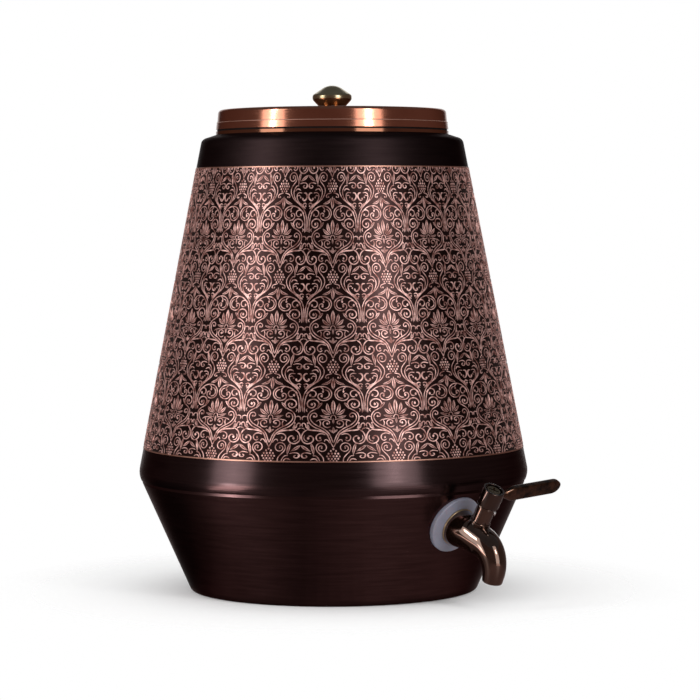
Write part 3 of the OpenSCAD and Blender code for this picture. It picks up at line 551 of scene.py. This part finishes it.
# Cross-sections of a stroke, and of a leaf with its vein, as (share of the half width, height)
PLAIN_SECTION = [(-1, -RELIEF_ROOT), (-0.7, RELIEF_H), (0.7, RELIEF_H), (1, -RELIEF_ROOT)]
VEIN_SECTION = [
    (-1, -RELIEF_ROOT), (-0.84, RELIEF_H), (-0.38, RELIEF_H), (-0.2, 0),
    (0.2, 0), (0.38, RELIEF_H), (0.84, RELIEF_H), (1, -RELIEF_ROOT),
]


def stroke_solid(line, halves, section):
    """A closed strip: points of (x, y, height) in the cell's plane, and its faces."""
    along = np.gradient(line, axis=0)
    along /= np.maximum(np.hypot(*along.T), 1e-9)[:, None]
    side = np.stack([along[:, 1], -along[:, 0]], 1)
    points = []
    for centre, across, half in zip(line, side, halves):
        for offset, height in section:
            points.append((*(centre + across * half * offset), height))
    n = len(section)
    faces = grid_faces(len(line), n, True)
    faces.append(tuple(range(n))[::-1])
    faces.append(tuple(range((len(line) - 1) * n, len(line) * n)))
    return np.array(points), faces


def column_relief():
    """The relief of one column of cells: points of (turn, height up the wall, height off it), and faces."""
    parts = []
    for row in ROWS:
        for line, halves, veined in cell_strokes():
            z = band_height(row + line[:, 1] / CELL_H)
            inside = (z > BAND_LOW) & (z < BAND_HIGH)
            edges = np.flatnonzero(np.diff(np.concatenate([[0], inside.astype(int), [0]])))
            for start, stop in zip(edges[::2], edges[1::2]):
                if stop - start < FEWEST_POINTS:
                    continue
                section = VEIN_SECTION if veined else PLAIN_SECTION
                points, faces = stroke_solid(line[start:stop], halves[start:stop], section)
                points[:, 1] = band_height(row + points[:, 1] / CELL_H)
                parts.append((points, faces))
    return joined(*parts)


def on_wall(points, turn):
    """Cell points bent round the tapered wall, in metres."""
    theta = CAMERA_AZIMUTH + turn + points[:, 0] / CELL_W * 2 * math.pi / COLUMNS
    r = wall_radius(points[:, 1]) + points[:, 2] * math.cos(WALL_TILT)
    z = points[:, 1] + points[:, 2] * math.sin(WALL_TILT)
    return np.stack([r * np.sin(theta), -r * np.cos(theta), z], 1) * MM


column_points, column_faces = column_relief()
for sector in range(SECTORS):
    columns = range(sector * COLUMNS // SECTORS, (sector + 1) * COLUMNS // SECTORS)
    relief = joined(*[(on_wall(column_points, 2 * math.pi * c / COLUMNS), column_faces) for c in columns])
    add_piece(f"damask_{sector + 1}", *relief, relief_copper, "vessel", "bright_copper", sharp=25)

# Rings are turned about the vessel's own axis
UPRIGHT, WALL_SIDES, LID_SIDES = Matrix.Identity(4), 360, 240

# The blackened ground that the relief stands on
GROUND_H = 0.04
ground = [(wall_radius(z) + h * math.cos(WALL_TILT), z + h * math.sin(WALL_TILT))
          for z, h in ((BAND_LOW, -RELIEF_ROOT), (BAND_LOW, GROUND_H), (BAND_HIGH, GROUND_H),
                       (BAND_HIGH, -RELIEF_ROOT), (BAND_LOW, -RELIEF_ROOT))]
add_piece("damask_ground", *lathe(ground, UPRIGHT, WALL_SIDES), ground_copper, "vessel", "dark_copper")

# Copper lines along the band's two edges
BORDER_W, BORDER_H, BORDER_ROUND = 0.95, 0.26, 0.3
for border_name, border_z in (("band_line_low", BAND_LOW), ("band_line_high", BAND_HIGH)):
    outline = rounded([
        (-BORDER_W / 2, -RELIEF_ROOT, 0), (-BORDER_W / 2, BORDER_H, BORDER_ROUND),
        (BORDER_W / 2, BORDER_H, BORDER_ROUND), (BORDER_W / 2, -RELIEF_ROOT, 0),
        (-BORDER_W / 2, -RELIEF_ROOT, 0)], 3)
    ring = [(wall_radius(border_z + s) + h * math.cos(WALL_TILT), border_z + s + h * math.sin(WALL_TILT))
            for s, h in outline]
    add_piece(border_name, *lathe(ring, UPRIGHT, WALL_SIDES), border_copper, "vessel", "bright_copper")

# A matte black ring in the groove under the lid, set in from the lid's edge and just clear of it: painted
# shade where the gap is dark
lid_low, lid_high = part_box("lid_shell")
LID_R, LID_Z = lid_high[0] / MM, lid_low[2] / MM
GROOVE_H, GROOVE_IN, GROOVE_BACK, GROOVE_GAP = 1.2, 0.8, 1.0, 0.05
groove = [
    (LID_R - GROOVE_BACK, LID_Z - GROOVE_H), (LID_R - GROOVE_IN, LID_Z - GROOVE_H),
    (LID_R - GROOVE_IN, LID_Z - GROOVE_GAP), (LID_R - GROOVE_BACK, LID_Z - GROOVE_GAP),
    (LID_R - GROOVE_BACK, LID_Z - GROOVE_H),
]
add_piece("collar_groove_painted_shade", *lathe(groove, UPRIGHT, LID_SIDES), groove_painted_shade, "vessel", "dark_copper")

# A bead along the fold round the lid's hem, rougher than the lid and partly diffuse so that it always shows
# as a light line: a painted highlight
HEM_H, HEM_IN, HEM_R = 4.5, 0.62, 0.24
hem = [(LID_R - HEM_IN + HEM_R * math.cos(a), LID_Z + HEM_H + HEM_R * math.sin(a))
       for a in np.linspace(0, 2 * math.pi, 13)]
add_piece("lid_hem_highlight", *lathe(hem, UPRIGHT, LID_SIDES), hem_highlight_copper, "lid", "bright_copper")


# The tap: its frame comes from the lever's joint

lever_joint = next(j for j in frame["joints"] if j["name"] == "lever_turn")
UP = -Vector(lever_joint["axis"]).normalized()
SIDE = Vector((1, 0, 0))
OUT = SIDE.cross(UP)
VALVE_AT = Matrix.Translation(Vector(lever_joint["pos_m"]))
AT_VALVE = VALVE_AT @ Matrix((SIDE, -OUT, UP)).transposed().to_4x4()
# The valve leans out from the barrel, so the barrel's own frame is turned back by that lean
BARREL_UP = UP * math.cos(VALVE_LEAN) - OUT * math.sin(VALVE_LEAN)
BARREL_OUT = UP * math.sin(VALVE_LEAN) + OUT * math.cos(VALVE_LEAN)
AT_BARREL = VALVE_AT @ Matrix((SIDE, BARREL_UP, BARREL_OUT)).transposed().to_4x4()

GOOSE_RUN = VALVE_REACH + BEND_START
GOOSE_ARC = BEND_R * BEND_ANGLE
GOOSE_LEN = GOOSE_RUN + GOOSE_ARC + SPOUT_TAIL
GOOSE_SIDES, GOOSE_TAPER = 72, 1.15
# The spout's rounded lip, the chamfer of its mouth as (width, depth), and where its port meets the chamber
LIP, MOUTH_EDGE, PORT_START = 0.8, (0.15, 0.2), 3.5
# The shank's inlet bore, its end, and the seat where it meets the chamber
INLET_R, INLET_END, INLET_SEAT = 6.5, 7.4, 7.3
# How far the flange runs into shank and barrel, and the height and flare of the valve neck's foot
OVERLAP, NECK_FOOT, NECK_FLARE = 0.6, 8, 0.6


def goose_ring(s, radius, drop=0.0):
    """A ring of points round the gooseneck's centre line at a length from the flange."""
    turn = min(max((s - GOOSE_RUN) / GOOSE_ARC, 0), 1) * BEND_ANGLE
    tail = max(s - GOOSE_RUN - GOOSE_ARC, 0)
    lift = BARREL_RISE * (1 - math.cos(math.pi * min(max(s / VALVE_REACH, 0), 1))) / 2 - drop
    v = lift - BEND_R * (1 - math.cos(turn)) - tail * math.sin(turn)
    u = min(s, GOOSE_RUN) - VALVE_REACH + BEND_R * math.sin(turn) + tail * math.cos(turn)
    t = np.linspace(0, 2 * math.pi, GOOSE_SIDES, endpoint=False)
    return np.stack([radius * np.cos(t), v + radius * np.sin(t) * math.cos(turn),
                     u + radius * np.sin(t) * math.sin(turn)], 1)


def gooseneck():
    """The spout's outside, its rounded lip and its stepped bore."""
    def share(s, start):
        return min(max((s - start) / (GOOSE_LEN - start), 0), 1)

    def outside(s):
        return ROOT_R + (SPOUT_R - ROOT_R) * share(s, 0) ** GOOSE_TAPER

    rings = [(s, outside(s), 0) for s in np.concatenate([
        np.linspace(-FLANGE_H / 2, GOOSE_RUN, 24), np.linspace(GOOSE_RUN + 0.5, GOOSE_LEN - LIP, 44)])]
    rings += [(GOOSE_LEN - LIP * (1 - math.sin(a)), SPOUT_R - LIP * (1 - math.cos(a)), 0)
              for a in np.linspace(0.2, math.pi / 2, 6)]
    rings += [(GOOSE_LEN, MOUTH_R + MOUTH_EDGE[0], 0), (GOOSE_LEN - MOUTH_EDGE[1], MOUTH_R, 0),
              (GOOSE_LEN - MOUTH_DEPTH, MOUTH_R, 0)]
    rings += [(s, PORT_R, BARREL_RISE * (1 - share(s, VALVE_REACH)))
              for s in np.linspace(GOOSE_LEN - MOUTH_DEPTH - 0.01, VALVE_REACH + PORT_START, 20)]
    points = np.concatenate([goose_ring(s, r, drop) for s, r, drop in rings])
    return placed(points, AT_BARREL), grid_faces(len(rings), GOOSE_SIDES, True)


def shank_thread(pitch=1.81, depth=0.55, sides=72, rings_per_turn=10, run_out_rings=8):
    """The shank's threaded outside as one screw surface, with its inlet bore."""
    length = SHANK_END - VALVE_REACH - FLANGE_H
    count = int(length / pitch * rings_per_turn)
    t = np.linspace(0, 2 * math.pi, sides, endpoint=False)
    rows = []
    for k in range(count + 1):
        z = -SHANK_END + length * k / count
        phase = (z / pitch - t / (2 * math.pi)) % 1.0
        run_out = min(1.0, k / run_out_rings, (count - k) / run_out_rings)
        r = SHANK_R - depth * run_out * np.abs(2 * phase - 1)
        rows.append(np.stack([r * np.cos(t), r * np.sin(t), np.full(sides, z)], 1))
    inlet = [(INLET_R, -SHANK_END), (INLET_R, -INLET_END), (CHAMBER_R * 0.6, -INLET_SEAT)]
    bore = [np.stack([r * np.cos(t), r * np.sin(t), np.full(sides, z)], 1) for r, z in inlet]
    points = np.concatenate([*bore[::-1], *rows])
    return placed(points, AT_BARREL), grid_faces(len(bore) + len(rows), sides, True)


flange = rounded([
    (SHANK_R - OVERLAP, -VALVE_REACH - FLANGE_H, 0), (FLANGE_R, -VALVE_REACH - FLANGE_H, 0.3),
    (FLANGE_R, -VALVE_REACH, 0.6), (BARREL_R - OVERLAP, -VALVE_REACH, 0)])
BEAD_R = 0.75
valve_neck = rounded([
    (BOSS_R + NECK_FLARE, NECK_FOOT, 0), (BOSS_TOP_R + 0.3, BOSS_H - 2.0, 2.0),
    (NECK_R, BOSS_H - BEAD_R, 0.1), (NECK_R + BEAD_R, BOSS_H - BEAD_R, BEAD_R),
    (NECK_R + BEAD_R, BOSS_H + BEAD_R, BEAD_R), (NECK_R, BOSS_H + BEAD_R, 0.1),
    (NECK_R, NECK_TOP, 0.4), (CHAMBER_R, NECK_TOP, 0), (CHAMBER_R, NECK_FOOT, 0)])
add_piece("tap_casting", *joined(gooseneck(), shank_thread(), lathe(valve_neck, AT_VALVE)),
          tap_bronze, "vessel", "dark_bronze", ["tap_body"])
add_piece("tap_flange", *lathe(flange, AT_BARREL), rim_brass, "vessel", "dark_bronze", ["tap_body"])

thrust_low, thrust_high = NECK_TOP, NECK_TOP + THRUST_H
add_piece("thrust_ring", *lathe(rounded([
    (CHAMBER_R, thrust_low, 0), (THRUST_R, thrust_low, 0.55), (THRUST_R, thrust_high, 0.55),
    (CHAMBER_R, thrust_high, 0), (CHAMBER_R, thrust_low, 0)]), AT_VALVE),
    tap_bronze, "vessel", "dark_bronze", ["thrust_washer"])


def lever_cap(screw_r=1.8):
    """The cap's outside, open ring top and recess, and the socket's mouth under it."""
    recess = CAP_TOP - CAP_RECESS
    inner = CAP_R - CAP_RING
    return lathe(rounded([
        (DRIVE_W / 2, DRIVE_TOP, 0), (DRIVE_W / 2, CAP_LOW, 0), (CAP_R, CAP_LOW, 0.8), (CAP_R, CAP_TOP, 0.45),
        (inner, CAP_TOP, 0.3), (inner, recess, 0.2), (screw_r, recess, 0), (screw_r, DRIVE_TOP, 0),
        (DRIVE_W / 2, DRIVE_TOP, 0)]), AT_VALVE)


# Half thickness of the stem as a share of its height, thickness left at the tip, and squareness of the blade
STEM_SHARE, TIP_SHARE, BLADE_SQUARE = 0.48, 0.45, 0.55


def lever_blade(sides=48):
    """The stem that flares into an upright blade with a round end."""
    tilt = Matrix.Translation(Vector((0, 0, CAP_TOP - STEM_H / 2 - STEM_DROP)) * MM)
    place = AT_VALVE @ tilt @ Matrix.Rotation(-LEVER_RISE, 4, "Y")
    end = LEVER_LEN - TIP_LEN
    stations = np.concatenate([
        np.linspace(CAP_R - CAP_RING / 2, CAP_R + 1, 4), np.linspace(CAP_R + 1.6, BLADE_START + 3, 16),
        np.linspace(BLADE_START + 5, end, 12), end + TIP_LEN * np.sin(np.linspace(0.1, math.pi / 2, 18))])
    t = np.linspace(0, 2 * math.pi, sides, endpoint=False)
    rows = []
    for x in stations:
        flare = np.clip((x - CAP_R - 0.6) / (BLADE_START + 1 - CAP_R), 0, 1)
        flare = flare * flare * (3 - 2 * flare)
        tip = math.sqrt(max(1 - (max(x - end, 0) / TIP_LEN) ** 2, 0))
        high = (STEM_H / 2 + (BLADE_H - STEM_H) / 2 * flare) * tip
        stem = STEM_H * STEM_SHARE
        thick = (stem + (BLADE_T / 2 - stem) * flare) * (TIP_SHARE + (1 - TIP_SHARE) * tip)
        power = 1 - BLADE_SQUARE * flare
        y = thick * np.sign(np.cos(t)) * np.abs(np.cos(t)) ** power
        z = high * np.sign(np.sin(t)) * np.abs(np.sin(t)) ** power
        rows.append(np.stack([np.full(sides, x), y, z], 1))
    faces = grid_faces(len(rows), sides, True)
    faces.append(tuple(range(sides))[::-1])
    return placed(np.concatenate(rows), place), faces


add_piece("lever_cap", *lever_cap(), cap_bronze, "valve", "dark_bronze", ["lever"])
add_piece("lever_blade", *lever_blade(), lever_bronze, "valve", "dark_bronze", ["lever"])


# Stage: a pale floor for the shadow, a white world, two soft boxes with hot cores, and sheets that only
# reflections see. The sheets stand nearly all round the vessel, over it and under it, as a dim room would.

def stage_mesh(name, verts, faces, material):
    """A mesh object that is not part of the dispenser."""
    mesh = bpy.data.meshes.new(name)
    mesh.from_pydata(np.asarray(verts).tolist(), [], faces)
    mesh.materials.append(material)
    thing = bpy.data.objects.new(name, mesh)
    bpy.context.scene.collection.objects.link(thing)
    return thing


# The floor fades to nothing between these two distances from the axis
FLOOR_R, FLOOR_DROP, FLOOR_SIDES, FLOOR_FADE = 0.4, 0.0002, 96, (0.09, 0.24)
floor_finish = Finish("floor", base_color=(0.95, 0.95, 0.95, 1), roughness=0.9, specular_ior_level=0.1)
reach = floor_finish.node("ShaderNodeVectorMath", operation="LENGTH")
floor_finish.link(floor_finish.object_coords(), reach.inputs[0])
fade = floor_finish.node("ShaderNodeMapRange")
fade.inputs["From Min"].default_value = FLOOR_FADE[0]
fade.inputs["From Max"].default_value = FLOOR_FADE[1]
floor_finish.link(reach.outputs["Value"], fade.inputs["Value"])
clear = floor_finish.node("ShaderNodeBsdfTransparent")
blended = floor_finish.node("ShaderNodeMixShader")
floor_finish.link(fade.outputs["Result"], blended.inputs[0])
floor_finish.link(floor_finish.shader.outputs[0], blended.inputs[1])
floor_finish.link(clear.outputs[0], blended.inputs[2])
floor_finish.link(blended.outputs[0], floor_finish.tree.nodes["Material Output"].inputs[0])
floor_edge = [(FLOOR_R * math.cos(a), FLOOR_R * math.sin(a), -FLOOR_DROP)
              for a in np.linspace(0, 2 * math.pi, FLOOR_SIDES, endpoint=False)]
floor = stage_mesh("floor", floor_edge, [tuple(range(FLOOR_SIDES))], floor_finish.material)
floor.visible_glossy = False

SCREEN_R, SCREEN_LOW, SCREEN_TOP, ARC_POINTS = 3.2, -0.4, 2.2, 48
# The table's sheets: inner end, height of the table, and of the pools of light on it
AXIS_R, TABLE_Z, POOL_Z = 0.01, -0.002, -0.001


def screen(name, colour, low, high, half=180, middle=0):
    """A sheet between two arcs of (radius, height), seen only in reflections; angles are in degrees."""
    finish = Finish(name, base_color=(0, 0, 0, 1), emission_color=(*colour, 1), emission_strength=1.0)
    half, middle = math.radians(half), math.radians(middle)
    arc = CAMERA_AZIMUTH + middle + np.linspace(-half, half, ARC_POINTS)
    points = [(r * math.sin(a), -r * math.cos(a), z) for r, z in (low, high) for a in arc]
    sheet = stage_mesh(name, points, grid_faces(2, ARC_POINTS, False), finish.material)
    for ray in ("camera", "diffuse", "transmission", "shadow"):
        setattr(sheet, "visible_" + ray, False)


screen("screen", (0.12, 0.082, 0.075), (SCREEN_R, SCREEN_LOW), (SCREEN_R, SCREEN_TOP), half=158)
screen("ceiling", (0.11, 0.118, 0.13), (SCREEN_R, SCREEN_TOP), (AXIS_R, SCREEN_TOP))
screen("table", (0.11, 0.073, 0.068), (SCREEN_R, TABLE_Z), (AXIS_R, TABLE_Z))
# Pools of lamp light on the table, on the two lamps' sides: painted light, as glowing sheets that the metal
# mirrors
screen("pool_left", (7.4, 5.9, 5.6), (1.25, POOL_Z), (0.27, POOL_Z), half=9, middle=-54)
screen("pool_right", (1.4, 1.1, 1.05), (1.25, POOL_Z), (0.4, POOL_Z), half=12, middle=38)

# Fans of nested sheets on the table: (name, middle, half, narrowing, glow, gain), with angles in degrees.
# They are painted light and shade that the metal mirrors. Each step is narrower by the narrowing and brighter
# by the gain, or dimmer where the gain is negative, which paints shade.
FANS = [
    ("right", 34, 46, 5, 0.13, 0.026),
    ("left", -40, 26, 3, 0.12, 0.016),
    ("far_left", -98, 36, 4, 0.10, -0.014),
]
FAN_STEPS, FAN_FAR, FAN_NEAR, FAN_Z, FAN_LIFT = 6, 0.5, 0.1, -0.0018, 0.0001
FAN_TINT = (1.0, 0.67, 0.63)
for fan, middle, half, narrowing, glow, gain in FANS:
    for step in range(FAN_STEPS):
        height = FAN_Z + FAN_LIFT * step
        colour = [tint * (glow + gain * step) for tint in FAN_TINT]
        screen(f"light_shade_sheet_{fan}_{step}", colour, (FAN_FAR, height), (FAN_NEAR, height),
               half - narrowing * step, middle)


def soft_box(name, azimuth, width, low, high, distance, radiance):
    """A soft box that faces the vessel's axis from an azimuth beside the camera, in degrees."""
    light = bpy.data.lights.new(name, "AREA")
    light.shape = "RECTANGLE"
    light.size, light.size_y = width, high - low
    light.energy = radiance * math.pi * width * (high - low)
    lamp = bpy.data.objects.new(name, light)
    a = CAMERA_AZIMUTH + math.radians(azimuth)
    middle = Vector((0, 0, (low + high) / 2))
    lamp.location = (distance * math.sin(a), -distance * math.cos(a), middle.z)
    lamp.rotation_euler = (middle - lamp.location).to_track_quat("-Z", "Y").to_euler()
    lamp.visible_camera = False
    bpy.context.scene.collection.objects.link(lamp)


# Two tall boxes, and the small hot cores in front of them
LEFT, RIGHT, BOX_TOP, BOX_DISTANCE, CORE_DISTANCE, BOX_RADIANCE = -60, 36, 1.2, 1.3, 1.29, 2.5
soft_box("box_left", LEFT, 0.58, 0.0, BOX_TOP, BOX_DISTANCE, BOX_RADIANCE)
soft_box("box_right", RIGHT, 0.62, 0.0, BOX_TOP, BOX_DISTANCE, BOX_RADIANCE)
soft_box("core_left", LEFT, 0.09, 0.56, 0.86, CORE_DISTANCE, 28.0)
soft_box("core_low", LEFT, 0.18, 0.0, 0.18, CORE_DISTANCE, 11.0)
soft_box("core_right", RIGHT, 0.12, 0.54, 0.84, CORE_DISTANCE, 26.0)

# The world is white where the camera, metal or glass sees it, and a little dimmer as light
world = bpy.data.worlds.new("studio")
world.use_nodes = True
bpy.context.scene.world = world
AMBIENT = 0.86
path = world.node_tree.nodes.new("ShaderNodeLightPath")
seen = path.outputs["Is Camera Ray"]
for ray in ("Is Glossy Ray", "Is Transmission Ray"):
    either = world.node_tree.nodes.new("ShaderNodeMath")
    either.operation = "MAXIMUM"
    world.node_tree.links.new(seen, either.inputs[0])
    world.node_tree.links.new(path.outputs[ray], either.inputs[1])
    seen = either.outputs[0]
level = world.node_tree.nodes.new("ShaderNodeMapRange")
level.inputs["To Min"].default_value = AMBIENT
level.inputs["To Max"].default_value = 1.0
world.node_tree.links.new(seen, level.inputs["Value"])
sky = world.node_tree.nodes["Background"]
sky.inputs["Color"].default_value = (1, 1, 1, 1)
world.node_tree.links.new(level.outputs["Result"], sky.inputs["Strength"])

# Camera: the photograph's long lens, a little above the ridge, aimed just right of the axis
CAMERA_DISTANCE, CAMERA_HEIGHT, LENS, SENSOR = 1.867, 0.249, 144.0, 36.0
AIM_RIGHT, AIM_HEIGHT, ROLL = 0.0113, 0.159, math.radians(0.2)
camera = bpy.data.objects.new("camera", bpy.data.cameras.new("camera"))
bpy.context.scene.collection.objects.link(camera)
camera.data.lens, camera.data.sensor_width = LENS, SENSOR
towards = Vector((math.sin(CAMERA_AZIMUTH), -math.cos(CAMERA_AZIMUTH), 0))
right = Vector((math.cos(CAMERA_AZIMUTH), math.sin(CAMERA_AZIMUTH), 0))
camera.location = towards * CAMERA_DISTANCE + Vector((0, 0, CAMERA_HEIGHT))
aim = right * AIM_RIGHT + Vector((0, 0, AIM_HEIGHT)) - camera.location
camera.rotation_euler = (aim.to_track_quat("-Z", "Y").to_matrix() @ Matrix.Rotation(-ROLL, 3, "Z")).to_euler()
bpy.context.scene.camera = camera
bpy.context.scene.view_settings.view_transform = "Standard"
